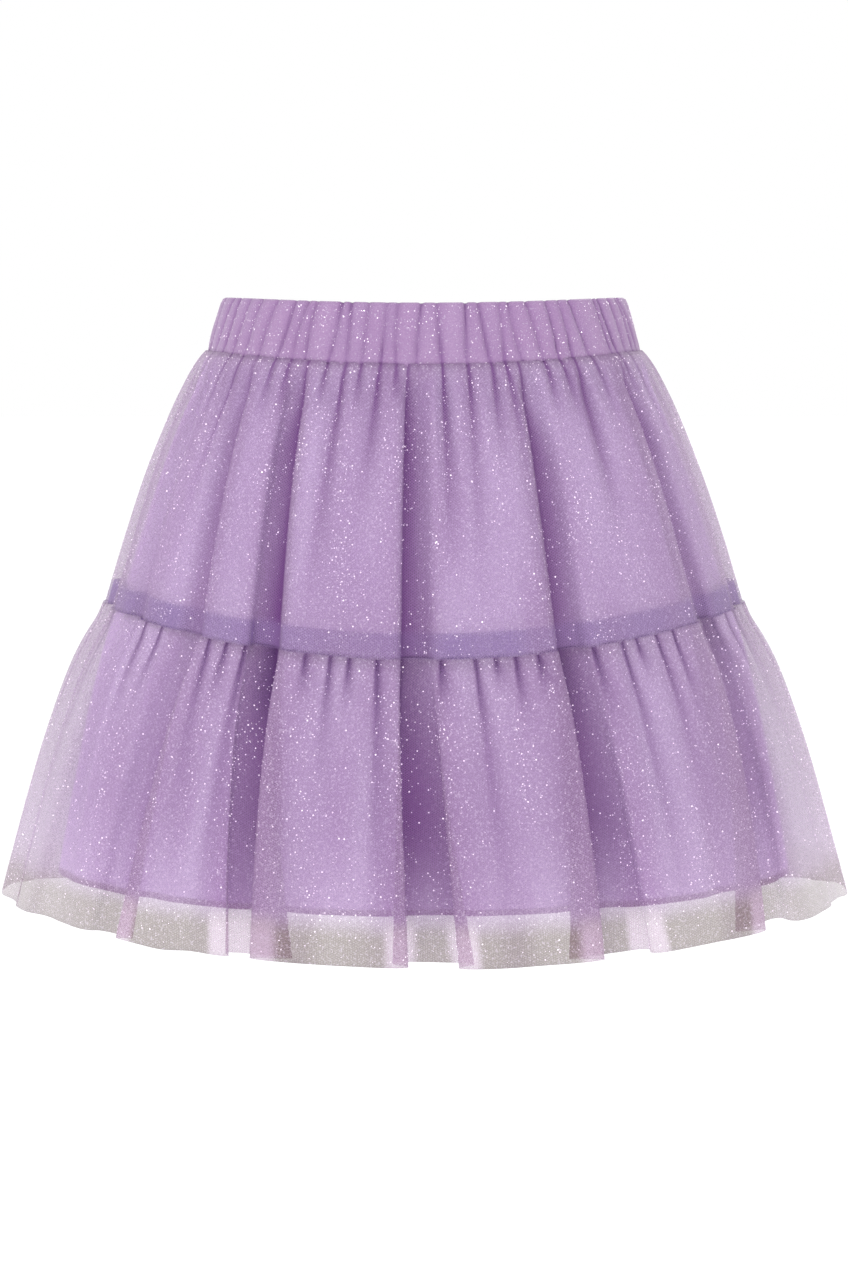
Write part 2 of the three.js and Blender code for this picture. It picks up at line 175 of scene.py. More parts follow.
# A gather's width in degrees at the sewn edge and where it runs out, and the share of its reach that
# it keeps its full depth.
GATHER_WIDTH_SEWN = 1.5
GATHER_WIDTH_OPEN = 3.2
FADES_FROM = 0.15

# The back is folded like the front, turned round, a little shifted and a little shallower. Shift and
# depth differ from row to row of the tables by a wave.
BACK_CLOSE_UP = 0.97
BACK_LAP_SHARE = 0.85
BACK_SHIFT = 1.5
BACK_SHIFT_STEP, BACK_SHIFT_START = 2.4, 1
BACK_DEPTH_SHARE = 0.86
BACK_DEPTH_DIFFERS = 0.14
BACK_DEPTH_STEP = 1.7


def back_angle(angle, row):
    shift = BACK_SHIFT * math.sin(BACK_SHIFT_STEP * row + BACK_SHIFT_START)
    return 180 - angle * BACK_CLOSE_UP + shift


def back_share(row):
    return BACK_DEPTH_SHARE + BACK_DEPTH_DIFFERS * math.sin(BACK_DEPTH_STEP * row)


def back_valley(valley, row):
    return Valley(
        tuple(back_angle(angle, row) for angle in valley.right),
        tuple(back_angle(angle, row) for angle in valley.left),
        tuple(depth * back_share(row) for depth in valley.depth),
        tuple(lap * BACK_LAP_SHARE for lap in valley.right_lap),
        tuple(lap * BACK_LAP_SHARE for lap in valley.left_lap),
        valley.dark,
        valley.softness[::-1],
    )


def back_gather(gather, row):
    share = back_share(row)
    return Gather(back_angle(gather.at, row), -gather.wander, gather.depth * share, gather.reach)


def all_round(rows, turned):
    return rows + [turned(row, number) for number, row in enumerate(rows)]


VALLEYS = all_round(FRONT_VALLEYS, back_valley)
WAIST_GATHERS = all_round(FRONT_WAIST_GATHERS, back_gather)
SEAM_GATHERS = all_round(FRONT_SEAM_GATHERS, back_gather)

# The bend at each edge of a valley: its greatest half width in degrees, how many of these its curve
# reaches to each side, and how many lie between the two bends of a narrow valley.
WIDEST_BEND = 1.5
BEND_REACH = 1.8
BENDS_APART = 0.2

# At the waist the valleys start at this share of their depth. They, and the gathers below a sewn
# edge, reach all of it over this share of the tier.
HELD_SHARE = 0.08
HELD_LENGTH = 0.16


def mix(low, high, share):
    return low + (high - low) * share


def ease(share):
    share = np.clip(share, 0, 1)
    return share * share * (3 - 2 * share)


def at_level(values, level):
    return np.interp(level, (0, 1, 2), values)


def turn_from(angle, other):
    return (angle - other + 180) % 360 - 180


def held(level):
    return mix(HELD_SHARE, 1, ease(level / HELD_LENGTH))


def valley_edges(valley, level):
    left, right = at_level(valley.left, level), at_level(valley.right, level)
    return left, right, np.minimum(WIDEST_BEND, (right - left) / (2 * BEND_REACH + BENDS_APART))


def past_edge(turns):
    return ease((turns + BEND_REACH) / (2 * BEND_REACH))


def lap_over(turns):
    return -turns * np.exp((1 - turns * turns) / 2)


def valley_depth(angle, level):
    depth = 0
    for valley in VALLEYS:
        left, right, bend = valley_edges(valley, level)
        inside = past_edge(turn_from(angle, left) / bend) * past_edge(turn_from(right, angle) / bend)
        depth = depth + at_level(valley.depth, level) * inside
    return depth * held(level)


def gather_depth(gathers, angle, way):
    depth = 0
    for gather in gathers:
        share = way / gather.reach
        width = mix(GATHER_WIDTH_SEWN, GATHER_WIDTH_OPEN, np.clip(share, 0, 1))
        off = turn_from(angle, gather.at + gather.wander * way) / width
        opened = mix(SEWN_GATHER, gather.depth, ease(way / HELD_LENGTH))
        depth = depth + opened * (1 - ease(share - FADES_FROM)) * np.exp(-off * off)
    return depth


def ring_between(top, foot, way, flare=FLARE):
    spread = way**flare
    return Ring(
        mix(top.half_width, foot.half_width, spread),
        mix(top.half_depth, foot.half_depth, spread),
        mix(top.side_height, foot.side_height, way),
        mix(top.sag, foot.sag, way),
    )


def lapped(angle, level, ring):
    turn = np.radians(angle)
    per_radian = np.hypot(ring.half_width * np.cos(turn), ring.half_depth * np.sin(turn))
    slide = 0
    for valley in VALLEYS:
        left, right, bend = valley_edges(valley, level)
        slide = slide + at_level(valley.left_lap, level) * lap_over(turn_from(angle, left) / bend)
        slide = slide + at_level(valley.right_lap, level) * lap_over(turn_from(angle, right) / bend)
    return angle + np.degrees(slide * held(level) / per_radian)


def points_on(ring, angle, inward):
    """The points of a ring at the angles, moved inwards square to it, as an array of rows."""
    across, ahead = np.sin(np.radians(angle)), np.cos(np.radians(angle))
    out_x, out_y = across / ring.half_width, -ahead / ring.half_depth
    length = np.hypot(out_x, out_y)
    return np.stack(
        (
            ring.half_width * across - inward * out_x / length,
            -ring.half_depth * ahead - inward * out_y / length,
            ring.side_height - ring.sag * ahead * ahead,
        ),
        axis=-1,
    )


class Wander:
    """Smooth seeded unevenness over the cloth, from -1 to 1, that closes up all the way round."""

    def __init__(self, seed, cells_round, cells_down):
        self.cells_round, self.cells_down = cells_round, cells_down
        self.heights = np.random.default_rng(seed).uniform(-1, 1, (cells_down + 2, cells_round))

    def __call__(self, angle, way):
        across = (angle % 360) / 360 * self.cells_round
        down = np.clip(way, 0, 1) * self.cells_down
        column, row = np.floor(across).astype(int), np.floor(down).astype(int)
        s, t = ease(across - column), ease(down - row)
        left, right = column % self.cells_round, (column + 1) % self.cells_round
        top = mix(self.heights[row, left], self.heights[row, right], s)
        foot = mix(self.heights[row + 1, left], self.heights[row + 1, right], s)
        return mix(top, foot, t)


# Fine unevenness that lies on the folds: soft waves, hairline gathers close to a sewn edge, and a
# hem that rises and falls a little.
UPPER_WAVES = Wander(11, 44, 4)
LOWER_WAVES = Wander(12, 56, 4)
UPPER_HAIRLINES = Wander(13, 150, 2)
LOWER_HAIRLINES = Wander(14, 190, 2)
HEM_WAVES = Wander(15, 70, 1)
WAVE_DEPTH = 0.9
HAIRLINE_DEPTH = 0.75
HAIRLINE_WIDTH = 0.22
HAIRLINE_REACH = 0.3
HEM_WAVE = 0.8


def fine_depth(angle, way, waves, hairlines):
    hairline = np.exp(-((hairlines(angle, way) / HAIRLINE_WIDTH) ** 2))
    hairline = hairline * (1 - ease(way / HAIRLINE_REACH))
    wave = (1 + waves(angle, way)) * ease(way / HELD_LENGTH) / 2
    return WAVE_DEPTH * wave + HAIRLINE_DEPTH * hairline


# Shade painted into the colour of the folds. Next to a sewn edge a valley's painted shade is a
# dark line of this share of its width, which has opened when this share of the tier is past.
Opening = namedtuple("Opening", "line_share opens_by")
UPPER_OPENING = Opening(0.26, 0.36)
LOWER_OPENING = Opening(0.9, 0.1)

# The least softness of an edge of the shade in degrees, and how fast the shade falls off.
SHARPEST = 0.5
FALL_OFF = 1.8

# The lean, as a tangent, up to which a valley shows all its floor, and the most that counts beyond.
FACES_VIEW = 0.5
MOST_HIDDEN = 1.1

# The levels between which the shade fades towards the hem, and what is left of it there.
FADES_TO_HEM = (1.5, 2)
LEFT_AT_HEM = 0.1

# A gather's shade: its half width in degrees at the sewn edge and where it runs out, how dark it
# starts, how far down it takes the darkness of its depth, and the depth that is shaded fully. It is
# steep on the side towards the middle of the front or back, and gentle on the other.
GATHER_LINE = 0.6
GATHER_SHADE = 2.3
GATHER_DARK = 1
GATHER_OPENS_BY = 0.3
DARK_DEPTH = 5.4
STEEP_SIDE, GENTLE_SIDE = 0.5, 1.3

# How many bends to each side of a valley's edge the lap's look reaches, and the slide in
# millimetres that makes a full lap.
FLAP_REACH = 2.4
FULL_LAP = 5

# How much the valleys' shade and the plain cloth differ from streak to streak, how far round the
# valleys' unevenness is read from the streaks, and how close to the sides the side's share begins;
# over that share the tulle is more see-through, less shaded, and lightened by a painted sheen.
UNEVEN = 0.22
STREAK_SHADE = 0.16
UNEVEN_SHIFT = 90
SIDE_POWER = 8


def seen_past(valley, level):
    """How many degrees of a valley at the sides its nearer edge hides from the front or back."""
    lean = math.tan(math.radians((valley.left[1] + valley.right[1]) / 2))
    hidden = math.copysign(min(max(abs(lean) - FACES_VIEW, 0), MOST_HIDDEN), lean)
    return np.degrees(at_level(valley.depth, level) * hidden / TIER_SEAM.half_width)


def valley_shade(angle, level, way, opening):
    shade = 0
    opened = mix(opening.line_share, 1, ease(way / opening.opens_by))
    for valley in VALLEYS:
        left, right, _ = valley_edges(valley, level)
        left_soft, right_soft = valley.softness
        hidden = seen_past(valley, level)
        left, right = left + hidden, right + hidden
        anchor = mix(left, right, left_soft / (left_soft + right_soft))
        left_soft = np.maximum(left_soft * opened, SHARPEST)
        right_soft = np.maximum(right_soft * opened, SHARPEST)
        from_left = turn_from(angle, mix(anchor, left, opened)) / left_soft
        from_right = turn_from(mix(anchor, right, opened), angle) / right_soft
        inside = (ease(from_left + 0.5) * ease(from_right + 0.5)) ** FALL_OFF
        shade = np.maximum(shade, at_level(valley.dark, level) * inside)
    start, end = FADES_TO_HEM
    return shade * mix(1, LEFT_AT_HEM, ease((level - start) / (end - start)))


def gather_shade(gathers, angle, way):
    shade = 0
    for gather in gathers:
        share = way / gather.reach
        off = turn_from(angle, gather.at + gather.wander * way)
        width = mix(GATHER_LINE, GATHER_SHADE, np.clip(share, 0, 1))
        inner = off * math.cos(math.radians(gather.at)) < 0
        off = off / (width * np.where(inner, STEEP_SIDE, GENTLE_SIDE))
        dark = mix(GATHER_DARK, gather.depth / DARK_DEPTH, ease(way / GATHER_OPENS_BY)) * (1 - ease(share))
        shade = np.maximum(shade, dark * np.exp(-off * off))
    return shade


def flap_share(angle, level):
    """Near 1 where the cloth laps over itself beside a valley."""
    share = 0
    for valley in VALLEYS:
        left, right, bend = valley_edges(valley, level)
        for edge, laps in ((left, valley.left_lap), (right, valley.right_lap)):
            off = turn_from(angle, edge) / bend / FLAP_REACH
            lap = np.clip(at_level(laps, level) / FULL_LAP, 0, 1)
            share = np.maximum(share, lap * np.exp(-(off**4)))
    return share


STREAKS_UPPER = Wander(31, 72, 2)
STREAKS_LOWER = Wander(32, 90, 2)


def tulle_marks(angle, level, way, gathers, streaks, opening):
    streak = 0.5 + 0.5 * streaks(angle, way)
    uneven = 1 - UNEVEN * streaks(angle + UNEVEN_SHIFT, way) ** 2
    painted_deep_shade = valley_shade(angle, level, way, opening) * uneven
    soft = gather_shade(gathers, angle, way)
    shade = 1 - (1 - painted_deep_shade) * (1 - soft) * (1 - STREAK_SHADE * streak**2)
    side = np.abs(np.sin(np.radians(angle))) ** SIDE_POWER
    flap = flap_share(angle, level)
    # The shade of the valleys, gathers and streaks is painted into the tulle's colour, and makes it
    # denser.
    return {"fold": shade, "flap": flap, "streak": streak, "level": level, "side": side}


# The head of the upper tier comes out to meet the waistband's foot, and painted shade darkens it
# there and, more softly, over the share of the tier below it.
TOP_LIFT = 1.1
TOP_REACH = 0.025
SEAM_SHADE = 0.18
SHOULDER_SHADE = 0.2
SHOULDER_REACH = 0.4


def upper_tier(angle, way):
    ring = ring_between(WAIST, TIER_SEAM, way)
    depth = valley_depth(angle, way) + gather_depth(WAIST_GATHERS, angle, way)
    fine = fine_depth(angle, way, UPPER_WAVES, UPPER_HAIRLINES)
    fine = fine - TOP_LIFT * (1 - ease(way / TOP_REACH))
    return points_on(ring, lapped(angle, way, ring), depth + fine)


def upper_marks(angle, way):
    marks = tulle_marks(angle, way, way, WAIST_GATHERS, STREAKS_UPPER, UPPER_OPENING)
    marks["fold"] = np.maximum(marks["fold"], SEAM_SHADE * (1 - ease(way / TOP_REACH)))
    marks["fold"] = 1 - (1 - marks["fold"]) * (1 - SHOULDER_SHADE * (1 - ease(way / SHOULDER_REACH)))
    return marks


# The head of the lower tier stands out and up from the foot of the upper one over this share of the
# way, and the cloth is pinched in just below it.
HEAD_REACH = 0.07
HEAD_LIFT = 0.4
HEAD_RISE = 0.6
SEAM_PINCH = 2.6
PINCHED_AT = 0.045


def lower_tier(angle, way):
    ring = ring_between(TIER_SEAM, HEM, way)
    depth = valley_depth(angle, 1 + way) + gather_depth(SEAM_GATHERS, angle, way)
    fine = fine_depth(angle, way, LOWER_WAVES, LOWER_HAIRLINES)
    over = 1 - ease(way / HEAD_REACH)
    depth = depth + SEAM_PINCH * way / PINCHED_AT * np.exp(1 - way / PINCHED_AT)
    points = points_on(ring, lapped(angle, 1 + way, ring), depth + fine - HEAD_LIFT * over)
    points[..., 2] += HEM_WAVE * HEM_WAVES(angle, way) * ease(way) + HEAD_RISE * over
    return points


def lower_marks(angle, way):
    return tulle_marks(angle, 1 + way, way, SEAM_GATHERS, STREAKS_LOWER, LOWER_OPENING)


# The lining hangs in the same valleys, this share as deep at the three levels, and this far in from
# the tulle.
LINING_SHARE = (0.8, 0.95, 0.3)
LINING_GAP_SEWN = 2.6
LINING_GAP_OPEN = 7.4
LINING_HEM_LEVEL = 1.95
LINING_WAVES = Wander(16, 26, 3)
LINING_STREAKS = Wander(33, 60, 3)


def lining(angle, way):
    level = way * LINING_HEM_LEVEL
    above, below = np.clip(level, 0, 1), np.clip((level - 1) / (LINING_HEM_LEVEL - 1), 0, 1)
    upper, lower = ring_between(WAIST, TIER_SEAM, above), ring_between(TIER_SEAM, LINING_HEM, below)
    ring = Ring(*(np.where(level < 1, *pair) for pair in zip(upper, lower)))
    depth = valley_depth(angle, level) * at_level(LINING_SHARE, level)
    gap = mix(LINING_GAP_SEWN, LINING_GAP_OPEN, ease(level / HELD_LENGTH)) * (1 - below)
    waves = (1 + LINING_WAVES(angle, way)) / 2 * ease(level)
    return points_on(ring, angle, gap + depth + waves)


def lining_marks(angle, way):
    level = way * LINING_HEM_LEVEL
    # The shade of the valleys, and of the gathers under the waist, is painted into the lining's colour.
    shade = valley_shade(angle, level, level, UPPER_OPENING)
    shade = np.maximum(shade, np.where(level < 1, gather_shade(WAIST_GATHERS, angle, level), 0))
    return {"fold": shade, "streak": 0.5 + 0.5 * LINING_STREAKS(angle, way), "level": level}


# The binding lies against the inside of the upper tier, along its lower edge.
BINDING_HEIGHT = 11
BINDING_TOP = 1 + BINDING_HEIGHT / (TIER_SEAM.side_height - WAIST.side_height)


def binding(angle, way):
    down = mix(BINDING_TOP, 1, way)
    ring = ring_between(WAIST, TIER_SEAM, down)
    depth = valley_depth(angle, down) + gather_depth(WAIST_GATHERS, angle, down)
    fine = fine_depth(angle, down, UPPER_WAVES, UPPER_HAIRLINES)
    inward = CAD_TULLE_WALL + SEAM_GAP
    return points_on(ring, lapped(angle, down, ring), depth + fine + inward)


def binding_marks(angle, way):
    # The valleys' shade is painted into the binding's colour.
    return {"fold": valley_shade(angle, 1 + 0 * way, 1, UPPER_OPENING), "level": 1 + 0 * way}


# The waistband is a casing that runs up its outside, over the top edge and down its inside. It is
# drawn up in ribs that puff out between narrow creases, each leaning and fading in its own way.
BAND_OUTSIDE = 0.46
BAND_ROUND = 0.08

# How far the casing swells out at mid height and how uneven it is, how deep and wide a crease is, how
# wide its shade is and how fast that falls off.
BAND_SWELL = 0.5
BAND_UNEVEN = 0.3
BAND_CREASE_DEPTH = 1.4
BAND_CREASE_WIDTH = 0.5
BAND_SHADE_WIDTH = 0.5
SHADE_FALL_OFF = 1.4

# How far a rib stands out, how round it is, and the widths in degrees of a rib that does so fully and
# of the narrowest one. Towards the sides the creases lean outwards, by this many degrees in all.
BAND_PUFF = 1
PUFF_ROUNDNESS = 0.9
FULL_RIB = 7
LEAST_RIB = 0.1
BAND_LEAN = 3.5

# The inside stands this far in from the casing's wall. The top edge is rolled and dips at a crease,
# over this share of the band's height.
BAND_LINING_GAP = 0.8
TOP_ROLL = 1.3
TOP_DIP = 0.6
TOP_EDGE = 0.125

# The foot is tucked in, and its ribs hang over the seam.
BAND_TUCK = 0.5
FOOT_PUFF = 1.8

# The shares of the band's height, up from its foot, over which its ribs flatten, its foot hangs over,
# and its foot and its creases are shaded; how dark these and a rib's flanks are, how much the foot's
# shade differs along it, and how far round that is read from the streaks.
FLATTENS_OVER = 1 / 5
HANGS_OVER = 1 / 6
KNOT_REACH = 1 / 7
FOOT_REACH = 1 / 14
KNOT_SHADE = 1.5
FLANK_SHADE = 0.4
FOOT_SHADE = 0.14
FOOT_UNEVEN = 0.3
FOOT_SHIFT = 60

CREASE_ANGLES = np.sort(
    [turn_from(gather.at, 0) for gather in WAIST_GATHERS]
    + [turn_from((valley.left[0] + valley.right[0]) / 2, 0) for valley in VALLEYS]
)
CREASES = len(CREASE_ANGLES)

# Each crease in its own way: how strong it is at the top and at the foot, how much it fades at mid
# height, how wide its shade is on the outer side, and how far it leans and bows, in degrees.
CREASE_DRAWS = np.random.default_rng(17)
CREASE_AT_TOP = CREASE_DRAWS.uniform(0.1, 1, CREASES)
CREASE_AT_FOOT = CREASE_DRAWS.uniform(0.45, 1, CREASES)
CREASE_FADES = CREASE_DRAWS.uniform(0, 0.6, CREASES)
CREASE_SPREADS = CREASE_DRAWS.uniform(0.7, 2.4, CREASES)
CREASE_LEANS = CREASE_DRAWS.uniform(-1.6, 1.6, CREASES)
CREASE_BOWS = CREASE_DRAWS.uniform(-0.5, 0.5, CREASES)

BAND_WAVES = Wander(18, 60, 3)
BAND_STREAKS = Wander(34, 80, 2)


def band_way(way):
    """From way, which runs from the inside foot over the top to the outside foot, to how far down
    the band it is and how far over its top edge towards the inside."""
    outside = np.clip(1 - (1 - way) / BAND_OUTSIDE, 0, 1)
    over = np.clip((1 - BAND_OUTSIDE - way) / BAND_ROUND, 0, 1)
    inside = np.clip(1 - way / (1 - BAND_OUTSIDE - BAND_ROUND), 0, 1)
    return np.where(way > 1 - BAND_OUTSIDE - BAND_ROUND / 2, outside, inside), over


def near_foot(down, share):
    """Rises to 1 over the last share of the band's height."""
    return ease(1 + (down - 1) / share)


def band_creases(angle, down):
    """How creased and how shaded the band is, and how far out it puffs between two creases."""
    crease, shade, before, after = 0, 0, -180.0, 180.0
    bulge = np.sin(np.pi * down)
    rows = zip(CREASE_ANGLES, CREASE_AT_TOP, CREASE_AT_FOOT, CREASE_LEANS, CREASE_BOWS, CREASE_FADES,
               CREASE_SPREADS)
    for at, at_top, at_foot, lean, bow, fade, spread in rows:
        lean = lean + BAND_LEAN * math.sin(math.radians(at))
        off = turn_from(angle, at + bow * bulge + lean * (down - 1))
        strength = mix(at_top, at_foot, down) * (1 - fade * bulge)
        crease = np.maximum(crease, strength * np.exp(-((off / BAND_CREASE_WIDTH) ** 2)))
        width = BAND_SHADE_WIDTH * np.where(off * at > 0, spread, 1)
        shade = np.maximum(shade, strength * np.exp(-np.abs(off / width) ** SHADE_FALL_OFF))
        before = np.maximum(before, np.where(off >= 0, -off, -180))
        after = np.minimum(after, np.where(off < 0, -off, 180))
    width = np.maximum(after - before, LEAST_RIB)
    rounded = np.clip(4 * -before * after / width**2, 0, 1) ** PUFF_ROUNDNESS
    return crease, shade, rounded * np.minimum(width / FULL_RIB, 1)


def waistband(angle, way):
    down, over = band_way(way)
    ring = ring_between(BAND_TOP, BAND_FOOT, down, flare=1)
    crease, _, puff = band_creases(angle, down)
    swell = BAND_SWELL * np.sin(np.pi * down)
    to_foot = 1 - near_foot(down, FLATTENS_OVER)
    uneven = BAND_UNEVEN * (1 + BAND_WAVES(angle, down))
    outer = (BAND_CREASE_DEPTH * crease + BAND_PUFF * (1 - puff)) * to_foot - swell + uneven
    inner = BAND_WALL + BAND_LINING_GAP - swell
    share = np.sin(np.pi * over / 2) ** 2
    points = points_on(ring, angle, mix(outer, inner, share))
    edge = np.clip(1 - down / TOP_EDGE, 0, 1)
    points[..., 2] -= edge * (TOP_ROLL * (1 - np.sin(np.pi * over)) + TOP_DIP * crease)
    points[..., 2] -= (over == 0) * (BAND_TUCK + FOOT_PUFF * puff) * near_foot(down, HANGS_OVER)
    return points


def band_marks(angle, way):
    # The shade of the creases, of the knots at their feet, of the ribs' flanks and along the foot is
    # painted into the band's colour.
    down, _ = band_way(way)
    _, shade, puff = band_creases(angle, down)
    foot = FOOT_SHADE + FOOT_UNEVEN * BAND_STREAKS(angle + FOOT_SHIFT, down)
    foot = foot * near_foot(down, FOOT_REACH)
    knot = KNOT_SHADE * shade * near_foot(down, KNOT_REACH)
    flank = FLANK_SHADE * (1 - puff)
    dark = np.clip(np.maximum.reduce((shade, foot, flank, knot)), 0, 1)
    return {"fold": dark, "streak": 0.5 + 0.5 * BAND_STREAKS(angle, down), "level": down}


HALVES = {"front": (-90, 90), "back": (90, 270)}


def run_along(points, across, down):
    """How far along its own row of the cloth each point is, from 0 to 1, measured over the folds."""
    order = np.lexsort((across.round(6), -down.round(6)))
    row = points[order].reshape(len(np.unique(down.round(6))), -1, 3)
    length = np.linalg.norm(np.diff(row, axis=1), axis=2).cumsum(axis=1)
    run = np.empty(len(points))
    run[order] = (np.pad(length, ((0, 0), (1, 0))) / length[:, -1:]).ravel()
    return run


def cloth_piece(name, half, cloth):
    """A sheet of cloth over half the skirt: a grid that the cloth's surface function hangs in place.

    Its UV is the flat cloth in metres, and the cloth's marks give its other attributes, such as
    the painted shade, which says how deeply shade is painted into a point's colour.
    """
    grid = bmesh.new()
    bmesh.ops.create_grid(grid, x_segments=cloth.columns, y_segments=cloth.rows, size=0.5)
    mesh = bpy.data.meshes.new(name)
    grid.to_mesh(mesh)
    grid.free()
    places = np.empty(len(mesh.vertices) * 3)
    mesh.vertices.foreach_get("co", places)
    across, down = places[0::3] + 0.5, 0.5 - places[1::3]
    angle = mix(*HALVES[half], across)
    points = cloth.surface(angle, down)
    mesh.vertices.foreach_set("co", (points * MM).ravel())
    corner = np.empty(len(mesh.loops), dtype=int)
    mesh.loops.foreach_get("vertex_index", corner)
    run = run_along(points, across, down)
    flat_width, flat_height = cloth.flat
    cloth_map = np.stack((run[corner] * flat_width / 2, down[corner] * flat_height), axis=-1)
    mesh.uv_layers.new(name="cloth").data.foreach_set("uv", cloth_map.ravel())
    for mark, values in cloth.marks(angle, down).items():
        mesh.attributes.new(mark, "FLOAT", "POINT").data.foreach_set("value", values + 0 * angle)
    mesh.shade_smooth()
    piece = bpy.data.objects.new(name, mesh)
    bpy.context.scene.collection.objects.link(piece)
    shell = piece.modifiers.new("wall", "SOLIDIFY")
    shell.thickness, shell.offset, shell.use_rim = cloth.wall * MM, -1, True
    return piece


# Shader nodes


class Wire:
    """One output of a material's nodes; adding to it or multiplying it adds the Math node for that."""

    def __init__(self, finish, socket):
        self.finish, self.socket = finish, socket

    def math(self, operation, *others, **settings):
        inputs = dict(enumerate((self, *others)))
        return self.finish.node("ShaderNodeMath", {"operation": operation, **settings}, inputs)

    def __add__(self, other):
        return self.math("ADD", other)

    def __sub__(self, other):
        return self.math("SUBTRACT", other)

    def __mul__(self, other):
        return self.math("MULTIPLY", other)

    def __rsub__(self, other):
        return self.finish.node("ShaderNodeMath", {"operation": "SUBTRACT"}, {0: other, 1: self})

    def sine(self):
        return self.math("SINE")

    def clipped(self):
        return self.math("ADD", 0.0, use_clamp=True)


class Finish:
    """A material being wired up around its Principled shader."""

    def __init__(self, name):
        self.material = bpy.data.materials.new(name)
        self.material.use_nodes = True
        self.tree = self.material.node_tree
        self.shader = self.tree.nodes["Principled BSDF"]

    def node(self, kind, settings, inputs, output=0):
        made = self.tree.nodes.new(kind)
        for name, value in settings.items():
            setattr(made, name, value)
        for name, value in inputs.items():
            self.feed(made.inputs[name], value)
        return Wire(self, made.outputs[output])

    def feed(self, socket, value):
        if isinstance(value, Wire):
            self.tree.links.new(value.socket, socket)
        else:
            socket.default_value = value

    def set(self, **inputs):
        for name, value in inputs.items():
            self.feed(self.shader.inputs[name.replace("_", " ")], value)

    def attribute(self, name):
        return self.node("ShaderNodeAttribute", {"attribute_name": name}, {}, output="Fac")

    def cloth_axes(self):
        place = self.node("ShaderNodeUVMap", {"uv_map": "cloth"}, {})
        both = {0: place}
        return (self.node("ShaderNodeSeparateXYZ", {}, both, output=axis) for axis in ("X", "Y"))

    def object_noise(self, scale, detail):
        place = self.node("ShaderNodeTexCoord", {}, {}, output="Object")
        inputs = {"Vector": place, "Scale": scale, "Detail": detail}
        return self.node("ShaderNodeTexNoise", {}, inputs, output="Fac")

    def ramp(self, value, span, at_start=0.0, at_end=1.0):
        inputs = {0: value, 1: span[0], 2: span[1], 3: at_start, 4: at_end}
        return self.node("ShaderNodeMapRange", {"interpolation_type": "SMOOTHSTEP"}, inputs)

    def blend(self, share, first, second):
        inputs = {0: share, 6: first, 7: second}
        return self.node("ShaderNodeMix", {"data_type": "RGBA"}, inputs, output=2)

    def bump(self, height, distance, strength):
        inputs = {"Height": height, "Distance": distance, "Strength": strength}
        return self.node("ShaderNodeBump", {}, inputs)


def colour(red, green, blue):
    """A colour as seen, from 0 to 255, as the linear values that a shader takes."""
    parts = [part / 255 for part in (red, green, blue)]
    return (*(p / 12.92 if p <= 0.04045 else ((p + 0.055) / 1.055) ** 2.4 for p in parts), 1)


WHITE = (1, 1, 1, 1)


# The width of one hole of the net in metres, and the sum of its three waves at a thread and in a hole.
NET_CELL = 0.0011
NET_SPAN = (-1.2, 2.2)

TULLE_PALE = colour(174, 152, 182)
TULLE_PINK = colour(167, 141, 175)
TULLE_HEM = colour(128, 114, 99)
TULLE_VEIL = colour(194, 170, 190)
TULLE_FLAP = colour(162, 132, 170)
# A painted sheen that lightens the tulle towards the sides.
TULLE_SIDE_SHEEN = colour(207, 195, 205)
TULLE_SEAM = colour(142, 114, 166)
TULLE_SPECK = colour(216, 200, 222)
SHEEN_TINT = colour(226, 190, 236)
# Painted shade in the tulle's valleys and gathers, and deepest just under the tier seam. The first also
# darkens the grain and shades the binding.
TULLE_PAINTED_SHADE_AND_DARK_GRAIN = colour(106, 62, 122)
TULLE_DEEPEST_PAINTED_SHADE = colour(78, 40, 96)
LINING_COLOUR = colour(218, 186, 240)
LINING_PINK = colour(210, 173, 232)
# Painted shade in the lining's folds.
LINING_PAINTED_SHADE = colour(138, 88, 156)
LINING_HEM_LINE = colour(140, 92, 152)
BAND_COLOUR = colour(168, 139, 176)
BAND_PINK = colour(165, 133, 172)
BAND_SPECK = colour(146, 112, 158)
# Painted shade in the band's creases, on its ribs' flanks and along its foot.
BAND_PAINTED_SHADE = colour(112, 66, 128)
BINDING_COLOUR = colour(128, 92, 176)
BINDING_DARK = colour(108, 74, 150)
FLAKE_COLOUR = colour(250, 236, 250)
# The flakes' glow, a painted glint, runs from the first of these to the second.
FLAKE_DULL_GLOW_COLOUR = colour(120, 90, 130)
FLAKE_GLINT_GLOW_COLOUR = colour(255, 240, 252)
FLOOR_COLOUR = colour(160, 160, 162)


def net_threads(finish):
    """Near 1 on the threads of a six-sided net and near 0 in its holes."""
    across, down = finish.cloth_axes()
    turn = 2 * math.pi / NET_CELL
    waves = (across * turn).math("COSINE")
    for side in (1, -1):
        slanting = across * (turn * -0.5) + down * (turn * side * math.sqrt(0.75))
        waves = waves + slanting.math("COSINE")
    return finish.ramp(waves, NET_SPAN, 1.0, 0.0)


# How much one face of the tulle hides, and what the marks add to that or take from it.
FACE_COVER = 0.44
FOLD_COVER = 0.2
FLAP_COVER = 0.03
LAP_AT_HEM_COVER = -0.09
STREAK_COVER = 0.05
SIDE_COVER = -0.15
HEM_COVER = 0.03
TOP_COVER = 0.12
HOLE_COVER, THREAD_COVER = 0.91, 0.18

# The levels between which the tulle's looks change: at the hem, above it, either side of the tier
# seam, under it where the shade is deepest, on the binding and at the waist.
AT_HEM = (1.82, 1.92)
ABOVE_HEM = (1.5, 1.82)
ACROSS_SEAM = (0.995, 1.005)
BELOW_SEAM = (1.0, 1.005)
UNDER_SEAM_ENDS = (1.1, 1.4)
ON_BINDING = (BINDING_TOP - 0.02, BINDING_TOP + 0.02)
AT_WAIST = (0.015, 0.07)

